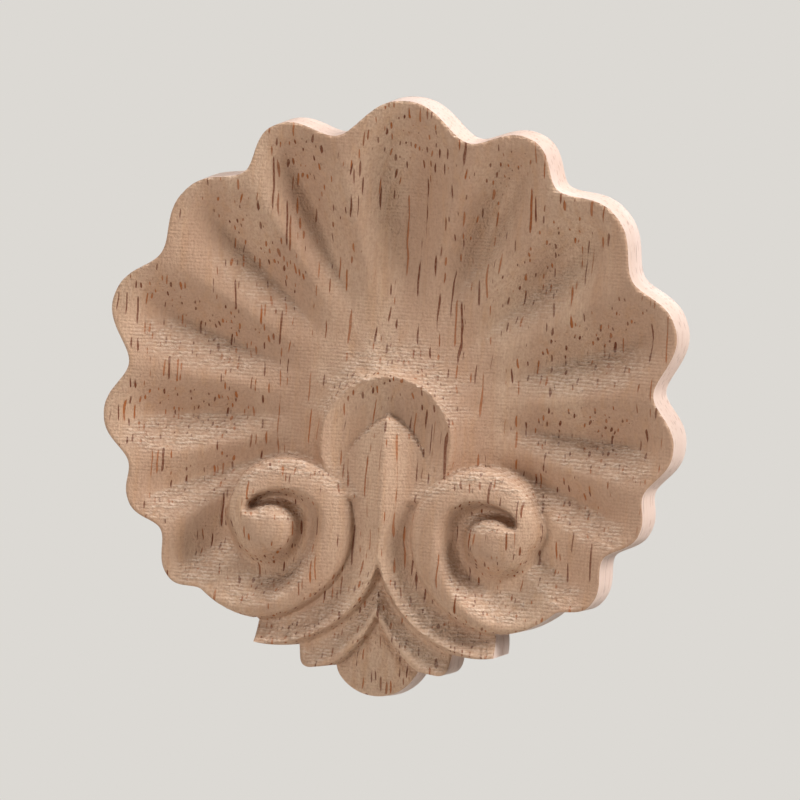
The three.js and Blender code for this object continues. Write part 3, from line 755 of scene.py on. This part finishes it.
def wood_pores(tree, place, cloud, colours, contrast):
    """Where pores are open, how strongly they show there, and their colour. They are thin tubes
    that wander a little on their way along Z, so a face along the grain cuts them to long dashes,
    a slope to short ones, and an end to dots. Some are dark brown, some orange."""
    bent = place
    for key, reach in PORE_BENDS:
        bend = {0: cloud[key].outputs["Color"], 1: (reach, reach, 0), 2: bent}
        bent = add(tree, VECTOR_MATH, bend, operation="MULTIPLY_ADD")
    flat = {0: bent, 1: (1, 1 / PORE_STRETCH, 1)}
    bent = add(tree, VECTOR_MATH, flat, operation="MULTIPLY")
    spread = {"Vector": bent, "Scale": 1 / PORE_SPACING, "Randomness": 1.0}
    tubes = add(tree, "ShaderNodeTexVoronoi", spread, voronoi_dimensions="2D")
    own = add(tree, "ShaderNodeSeparateColor", {0: tubes.outputs["Color"]}).outputs
    sizes = {0: own[0], READ_LOW: 0.3, READ_HIGH: 1.0, GIVE_HIGH: PORE_RADIUS / PORE_SPACING}
    radius = add(tree, RANGE, sizes)
    within = add(tree, MATH, {0: radius, 1: tubes.outputs["Distance"]}, operation="SUBTRACT")
    pore = add(tree, RANGE, {0: within, READ_HIGH: PORE_EDGE}, **SMOOTH)
    hue = add(tree, RANGE, {0: own[1], READ_LOW: 0.35, READ_HIGH: 0.7}, **SMOOTH)
    pair = {0: hue, COLOUR_A: colours.pore, COLOUR_B: colours.pore_orange}
    tint = add(tree, MIX, pair, **OF_COLOURS).outputs[MIXED]
    strength = add(tree, RANGE, {0: own[2], GIVE_LOW: 0.75 * contrast, GIVE_HIGH: contrast})
    share = add(tree, MATH, {0: pore, 1: strength}, operation="MULTIPLY")
    return pore, share, tint


def torn_shelves(tree, cloud, rows, torn):
    """Height of short ragged shelves, and how much of them there is. Where the carving faces up
    the cutter met the fibres' ends and tore them."""
    normal = add(tree, "ShaderNodeNewGeometry").outputs["Normal"]
    facing = add(tree, "ShaderNodeSeparateXYZ", {0: normal}).outputs["Z"]
    up = add(tree, RANGE, {0: facing, READ_LOW: 0.08, READ_HIGH: 0.5, GIVE_HIGH: torn}, **SMOOTH)
    clumps = add(tree, RANGE, {0: cloud["clumps"], READ_LOW: 0.3, READ_HIGH: 0.65, GIVE_LOW: 0.25})
    up = add(tree, MATH, {0: up, 1: clumps}, operation="MULTIPLY")
    fuzz = add(tree, MATH, {0: cloud["fuzz"], 1: SHELF_FUZZ}, operation="MULTIPLY")
    ragged = add(tree, MATH, {0: rows, 1: SHELF_ROWS, 2: fuzz}, operation="MULTIPLY_ADD")
    return ragged, up


def wood_material(name, colours, face, cutter_lines, rough, torn, contrast):
    """Raw rubberwood, from its clouds, pores and torn shelves. The face gives the colours of the
    wood, of its darker bands and of its fibres."""
    plain, band, fibre = face
    material = bpy.data.materials.new(name)
    material.use_nodes = True
    tree = material.node_tree
    tree.nodes.clear()
    metres = add(tree, "ShaderNodeTexCoord").outputs["Object"]
    place = add(tree, VECTOR_MATH, {0: metres, "Scale": 1 / MM}, operation="SCALE")
    cloud = {}
    for key, (size, detail, shift) in CLOUDS.items():
        scale = {"Vector": place, "Location": (shift, shift, shift), "Scale": [1 / s for s in size]}
        grid = add(tree, "ShaderNodeMapping", scale)
        cloud[key] = add(tree, "ShaderNodeTexNoise", {"Vector": grid, "Scale": 1.0, "Detail": detail})

    # Growth bands about 7 mm wide, warmer streaks of 1 mm, fibres of a quarter of a millimetre,
    # and grains of a third, as the raw surface is rough all over
    tone = add(tree, MATH, {0: cloud["bands"], 1: cloud["patches"]}, operation="ADD")
    tone = add(tree, RANGE, {0: tone, READ_LOW: 0.8, READ_HIGH: 1.2}, **SMOOTH)
    share = {}
    for key, (low, high, most) in TINTS.items():
        ends = {0: cloud[key], READ_LOW: low, READ_HIGH: high, GIVE_HIGH: most * contrast}
        share[key] = add(tree, RANGE, ends)
    pore, share["pores"], pore_tint = wood_pores(tree, place, cloud, colours, contrast)

    # Rows left by the cutter, even where it ran smoothly and ragged where it tore the wood
    waves = []
    for profile, distortion in WAVES:
        inputs = {
            "Vector": place,
            "Scale": 2 * math.pi / WAVE_FACTOR / CUTTER_PITCH,
            "Distortion": distortion,
            "Detail": 3.0,
            "Detail Scale": 0.9,
        }
        settings = {"wave_type": "BANDS", "bands_direction": "Z", "wave_profile": profile}
        waves.append(add(tree, "ShaderNodeTexWave", inputs, **settings).outputs["Fac"])
    lines, rows = waves

    # Shelves are pale torn fibres on top, with painted shade darkening the gaps below them
    ragged, up = torn_shelves(tree, cloud, rows, torn)
    pale = add(tree, RANGE, {0: ragged, READ_LOW: 0.95, READ_HIGH: 1.45, GIVE_LOW: 0.15})
    # Painted shade: the low gaps between the shelves are darkened with the fibre colour, where shade
    # would fall
    gap = add(tree, RANGE, {0: ragged, READ_LOW: 0.95, READ_HIGH: 0.7}, **SMOOTH)
    for key, mask, most in (("pale", pale, SHELF_PALE), ("shaded_gaps", gap, SHELF_SHADE)):
        part = add(tree, MATH, {0: mask, 1: up}, operation="MULTIPLY")
        share[key] = add(tree, MATH, {0: part, 1: most}, operation="MULTIPLY")

    colour = plain
    for much, tint in (
        (tone, band),
        (share["streaks"], colours.streak),
        (share["fibres"], fibre),
        (share["pores"], pore_tint),
        (share["grains"], fibre),
        (share["pale"], colours.torn),
        # painted shade in the gaps between the torn shelves
        (share["shaded_gaps"], fibre),
    ):
        pair = {0: much, COLOUR_A: colour, COLOUR_B: tint}
        colour = add(tree, MIX, pair, **OF_COLOURS).outputs[MIXED]

    # Heights of fibres, grains, cutter lines where they stayed, pores and torn shelves
    kept = add(tree, RANGE, {0: cloud["patchy"], READ_LOW: 0.4, READ_HIGH: 0.6, GIVE_LOW: 0.4})
    lines = add(tree, MATH, {0: lines, 1: kept}, operation="MULTIPLY")
    shelves = add(tree, MATH, {0: ragged, 1: up}, operation="MULTIPLY")
    height = add(tree, MATH, {0: cloud["fibres"], 1: FIBRE_HEIGHT}, operation="MULTIPLY")
    for layer, depth in (
        (cloud["grains"], rough),
        (lines, cutter_lines),
        (pore, -PORE_DEPTH),
        (shelves, SHELF_HEIGHT),
    ):
        height = add(tree, MATH, {0: layer, 1: depth, 2: height}, operation="MULTIPLY_ADD")
    bump = add(tree, "ShaderNodeBump", {"Strength": 1.0, "Distance": MM, "Height": height})
    # Raw wood is matt, and duller in some places than in others
    ends = {0: cloud["dull"], READ_LOW: 0.3, READ_HIGH: 0.7, GIVE_LOW: 0.64, GIVE_HIGH: 0.8}
    surface = {
        "Base Color": colour,
        "Roughness": add(tree, RANGE, ends),
        "IOR": 1.5,
        "Specular IOR Level": 0.3,
        "Normal": bump,
    }
    shader = add(tree, "ShaderNodeBsdfPrincipled", surface)
    add(tree, "ShaderNodeOutputMaterial", {"Surface": shader})
    return material


# Properties


def colour_property(name, description, code):
    """Colour that a user can change, from an sRGB hex value"""
    return FloatVectorProperty(
        name=name,
        description=description,
        default=linear(code) + [1.0],
        size=4,
        subtype="COLOR",
        min=0.0,
        max=1.0,
    )


class AppliqueSizes(bpy.types.PropertyGroup):
    """Sizes of the fine carving"""

    mesh_step: FloatProperty(
        name="Mesh step",
        description="Distance between corners of the carved surface",
        default=0.262 * MM,
        unit="LENGTH",
    )
    step_width: FloatProperty(
        name="Step width",
        description="Width that a steep side of the carving takes, seen from the front",
        default=0.16 * MM,
        unit="LENGTH",
    )
    tear_depth: FloatProperty(
        name="Tear depth",
        description="How far torn fibres stand up or are missing",
        default=0.07 * MM,
        unit="LENGTH",
    )
    arris: FloatProperty(
        name="Arris",
        description="Rounding between the carved face and the side walls",
        default=0.2 * MM,
        unit="LENGTH",
    )
    chip_depth: FloatProperty(
        name="Chip depth",
        description="Depth of splinters broken out of the upper rim",
        default=0.45 * MM,
        unit="LENGTH",
    )
    sharp_angle: FloatProperty(
        name="Sharp angle",
        description="Angle from which an edge of the mesh is shaded as sharp",
        default=math.radians(48),
        subtype="ANGLE",
    )


class AppliqueColours(bpy.types.PropertyGroup):
    """Colours of the wood"""

    face: colour_property("Face", "Carved face", "#c8a88d")
    face_dark: colour_property("Face, dark band", "Darker growth bands of the face", "#b9967c")
    face_fibre: colour_property("Face, fibres", "Fine darker fibres of the face", "#a07c64")
    streak: colour_property("Streaks", "Warmer streaks along the grain", "#b98d66")
    wall: colour_property("Wall", "Side walls", "#e4d0c6")
    wall_dark: colour_property("Wall, dark band", "Darker bands of the walls", "#dbc4b7")
    wall_fibre: colour_property("Wall, fibres", "Fine fibres of the walls", "#c9a48f")
    pore: colour_property("Pores", "Deep open pores", "#682f12")
    pore_orange: colour_property("Pores, orange", "Shallow pores", "#a05a28")
    torn: colour_property("Torn fibres", "Torn fibre ends", "#e6cfba")


class AppliqueStage(bpy.types.PropertyGroup):
    """Light and floor"""

    sides: FloatProperty(
        name="Side lights",
        description="Power of the light on the right, which the other side lights follow",
        default=8.3,
        unit="POWER",
    )
    front: FloatProperty(
        name="Front light",
        description="Power of the light in front",
        default=3.0,
        unit="POWER",
    )
    fill: FloatProperty(
        name="Fill",
        description="Strength of the even light",
        default=0.03,
        min=0.0,
    )
    floor: colour_property("Floor", "Floor and background", "#dcd9d4")


class AppliqueSettings(bpy.types.PropertyGroup):
    """All settings of the applique"""

    sizes: PointerProperty(type=AppliqueSizes)
    colours: PointerProperty(type=AppliqueColours)
    stage: PointerProperty(type=AppliqueStage)


# Making the piece and its stage


class APPLIQUE_OT_carving(bpy.types.Operator):
    """Makes the carved board from its height function and gives it its three surfaces"""

    bl_idname = "applique.carving"
    bl_label = "Carve the applique"

    def execute(self, context):
        settings = context.scene.applique
        colours = settings.colours
        # Carved rubberwood, straight from the cutter: matt, pinkish tan, with rows left by the tool
        face = wood_material(
            "rubberwood_machine_carved",
            colours,
            (colours.face, colours.face_dark, colours.face_fibre),
            cutter_lines=0.035,
            rough=0.2,
            torn=1.0,
            contrast=1.0,
        )
        # Routed edge of the same board: paler and smoother, with faint pores
        wall = wood_material(
            "rubberwood_profile_routed",
            colours,
            (colours.wall, colours.wall_dark, colours.wall_fibre),
            cutter_lines=0.0,
            rough=0.03,
            torn=0.0,
            contrast=0.35,
        )
        # Sanded back: even and pale, with its pores still open
        back = wood_material(
            "rubberwood_sanded",
            colours,
            (colours.wall, colours.face, colours.face_fibre),
            cutter_lines=0.0,
            rough=0.03,
            torn=0.0,
            contrast=0.8,
        )
        mesh = applique_mesh(settings.sizes)
        for material in (face, wall, back):
            mesh.materials.append(material)
        piece = bpy.data.objects.new(NODE + "_wood", mesh)
        context.scene.collection.objects.link(piece)
        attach(piece, "root")
        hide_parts(NODE)
        return {"FINISHED"}


# Soft disk lights all round near the plane of the board, and a weaker one in front. Each has its
# group's name, a share of the group's power, its direction in degrees counter-clockwise from the
# right as seen from the front, and its angle out of the board's plane towards the front. Their
# size and distance are in metres.
LIGHTS = {
    "side_right": ("sides", 1.0, 34, 9),
    "side_top": ("sides", 0.6, 105, 10),
    "side_left": ("sides", 0.6, 230, 13),
    "side_bottom": ("sides", 0.6, 284, 10),
    "front": ("front", 1.0, 200, 68),
}
LIGHT_SIZE = 0.4
LIGHT_DISTANCE = 0.8
LIGHT_COLOUR = (1.0, 0.985, 0.975)

# Floor in metres, and the grain of its paint
FLOOR_RADIUS = 2.5
FLOOR_CORNERS = 64
FLOOR_BELOW = 0.36
PAINT_GRAINS_PER_METRE = 900.0
PAINT_DEPTH = 0.1 * MM

# The photograph's viewpoint: turn, tilt and lean in degrees, then the camera's distance and how
# far it is lowered, in millimetres
CAMERA_TURN = -9.348
CAMERA_TILT = 3.043
CAMERA_LEAN = -3.181
CAMERA_DISTANCE = 839.36
CAMERA_DROP = 0.4766
CAMERA_SENSOR = 36.0
CAMERA_LENS = 270.0
CAMERA_CLIP = 0.01


def aimed(place, target):
    """Matrix that puts something at a place, with its -Z towards the target"""
    way = Vector(target) - Vector(place)
    return Matrix.Translation(place) @ way.to_track_quat("-Z", "Y").to_matrix().to_4x4()


def camera_place():
    """World matrix of the camera, which looks at the carving from the right and from above"""
    turn = Matrix.Rotation(math.radians(CAMERA_TURN), 3, "Y")
    tilt = Matrix.Rotation(math.radians(CAMERA_TILT), 3, "X")
    lean = Matrix.Rotation(math.radians(CAMERA_LEAN), 3, "Z")
    axes = tilt @ turn @ lean
    place = axes.transposed() @ Vector((0, 0, CAMERA_DISTANCE)) - Vector((0, CAMERA_DROP, 0))
    # From (right, up, out of the face) to the row's own axes
    to_row = Matrix(((1, 0, 0), (0, 0, -1), (0, 1, 0)))
    matrix = (to_row @ axes.transposed()).to_4x4()
    matrix.translation = to_row @ place * MM
    return matrix


def light_stage(scene, stage):
    """Adds the lights, and a world that is clear to the camera and gives only a little light"""
    for name, (group, share, around, outwards_angle) in LIGHTS.items():
        light = bpy.data.lights.new(name, "AREA")
        light.shape = "DISK"
        light.size = LIGHT_SIZE
        light.energy = share * getattr(stage, group)
        light.color = LIGHT_COLOUR
        lamp = bpy.data.objects.new(name, light)
        a = math.radians(around)
        e = math.radians(outwards_angle)
        way = Vector((math.cos(e) * math.cos(a), -math.sin(e), math.cos(e) * math.sin(a)))
        lamp.matrix_world = aimed(way * LIGHT_DISTANCE, (0, 0, 0))
        scene.collection.objects.link(lamp)

    world = bpy.data.worlds.new("even_light")
    world.use_nodes = True
    tree = world.node_tree
    tree.nodes.clear()
    seen = add(tree, "ShaderNodeLightPath").outputs["Is Camera Ray"]
    dim = add(tree, "ShaderNodeBackground", {"Color": stage.floor, "Strength": stage.fill})
    clear = add(tree, "ShaderNodeBackground", {"Color": stage.floor, "Strength": 1.0})
    both = add(tree, "ShaderNodeMixShader", {0: seen, 1: dim, 2: clear})
    add(tree, "ShaderNodeOutputWorld", {"Surface": both})
    scene.world = world


def lay_floor(scene, stage):
    """Adds a round floor well below the applique, in matt paint"""
    mesh = bpy.data.meshes.new("floor")
    around = [2 * math.pi * k / FLOOR_CORNERS for k in range(FLOOR_CORNERS)]
    height = plain_bounds[0].z - FLOOR_BELOW
    ring = [(FLOOR_RADIUS * math.cos(a), FLOOR_RADIUS * math.sin(a), height) for a in around]
    mesh.from_pydata(ring, [], [list(range(FLOOR_CORNERS))])
    # Matt wall paint put on with a roller: even and pale, without gloss, with a fine grain
    paint = bpy.data.materials.new("matt_paint_rolled")
    paint.use_nodes = True
    tree = paint.node_tree
    tree.nodes.clear()
    grain = add(tree, "ShaderNodeTexNoise", {"Scale": PAINT_GRAINS_PER_METRE, "Detail": 2.0})
    bump = add(tree, "ShaderNodeBump", {"Distance": PAINT_DEPTH, "Height": grain})
    surface = {"Base Color": stage.floor, "Roughness": 0.9, "Normal": bump}
    shader = add(tree, "ShaderNodeBsdfPrincipled", surface)
    add(tree, "ShaderNodeOutputMaterial", {"Surface": shader})
    mesh.materials.append(paint)
    floor = bpy.data.objects.new("floor", mesh)
    scene.collection.objects.link(floor)


def set_camera(scene):
    """Adds the camera at the photograph's viewpoint"""
    camera = bpy.data.cameras.new("camera")
    camera.sensor_width = CAMERA_SENSOR
    camera.lens = CAMERA_LENS
    camera.clip_start = CAMERA_CLIP
    eye = bpy.data.objects.new("camera", camera)
    eye.matrix_world = camera_place()
    scene.collection.objects.link(eye)
    scene.camera = eye
    scene.view_settings.view_transform = "Standard"


class APPLIQUE_OT_stage(bpy.types.Operator):
    """Sets up the lights, the floor and the camera"""

    bl_idname = "applique.stage"
    bl_label = "Set the stage"

    def execute(self, context):
        stage = context.scene.applique.stage
        light_stage(context.scene, stage)
        lay_floor(context.scene, stage)
        set_camera(context.scene)
        return {"FINISHED"}


class APPLIQUE_PT_panel(bpy.types.Panel):
    """Settings and steps of the applique"""

    bl_idname = "APPLIQUE_PT_panel"
    bl_label = "Carved applique"
    bl_space_type = "VIEW_3D"
    bl_region_type = "UI"
    bl_category = "Applique"

    def draw(self, context):
        layout = self.layout
        settings = context.scene.applique
        for group in (settings.sizes, settings.colours, settings.stage):
            box = layout.box()
            for name in group.__annotations__:
                box.prop(group, name)
        for operator in (APPLIQUE_OT_carving, APPLIQUE_OT_stage):
            layout.operator(operator.bl_idname)


classes = (
    AppliqueSizes,
    AppliqueColours,
    AppliqueStage,
    AppliqueSettings,
    APPLIQUE_OT_carving,
    APPLIQUE_OT_stage,
    APPLIQUE_PT_panel,
)


def register():
    for each in classes:
        bpy.utils.register_class(each)
    bpy.types.Scene.applique = PointerProperty(type=AppliqueSettings)


def unregister():
    del bpy.types.Scene.applique
    for each in reversed(classes):
        bpy.utils.unregister_class(each)


def main():
    register()
    bpy.ops.applique.carving()
    bpy.ops.applique.stage()


if __name__ == "__main__":
    main()
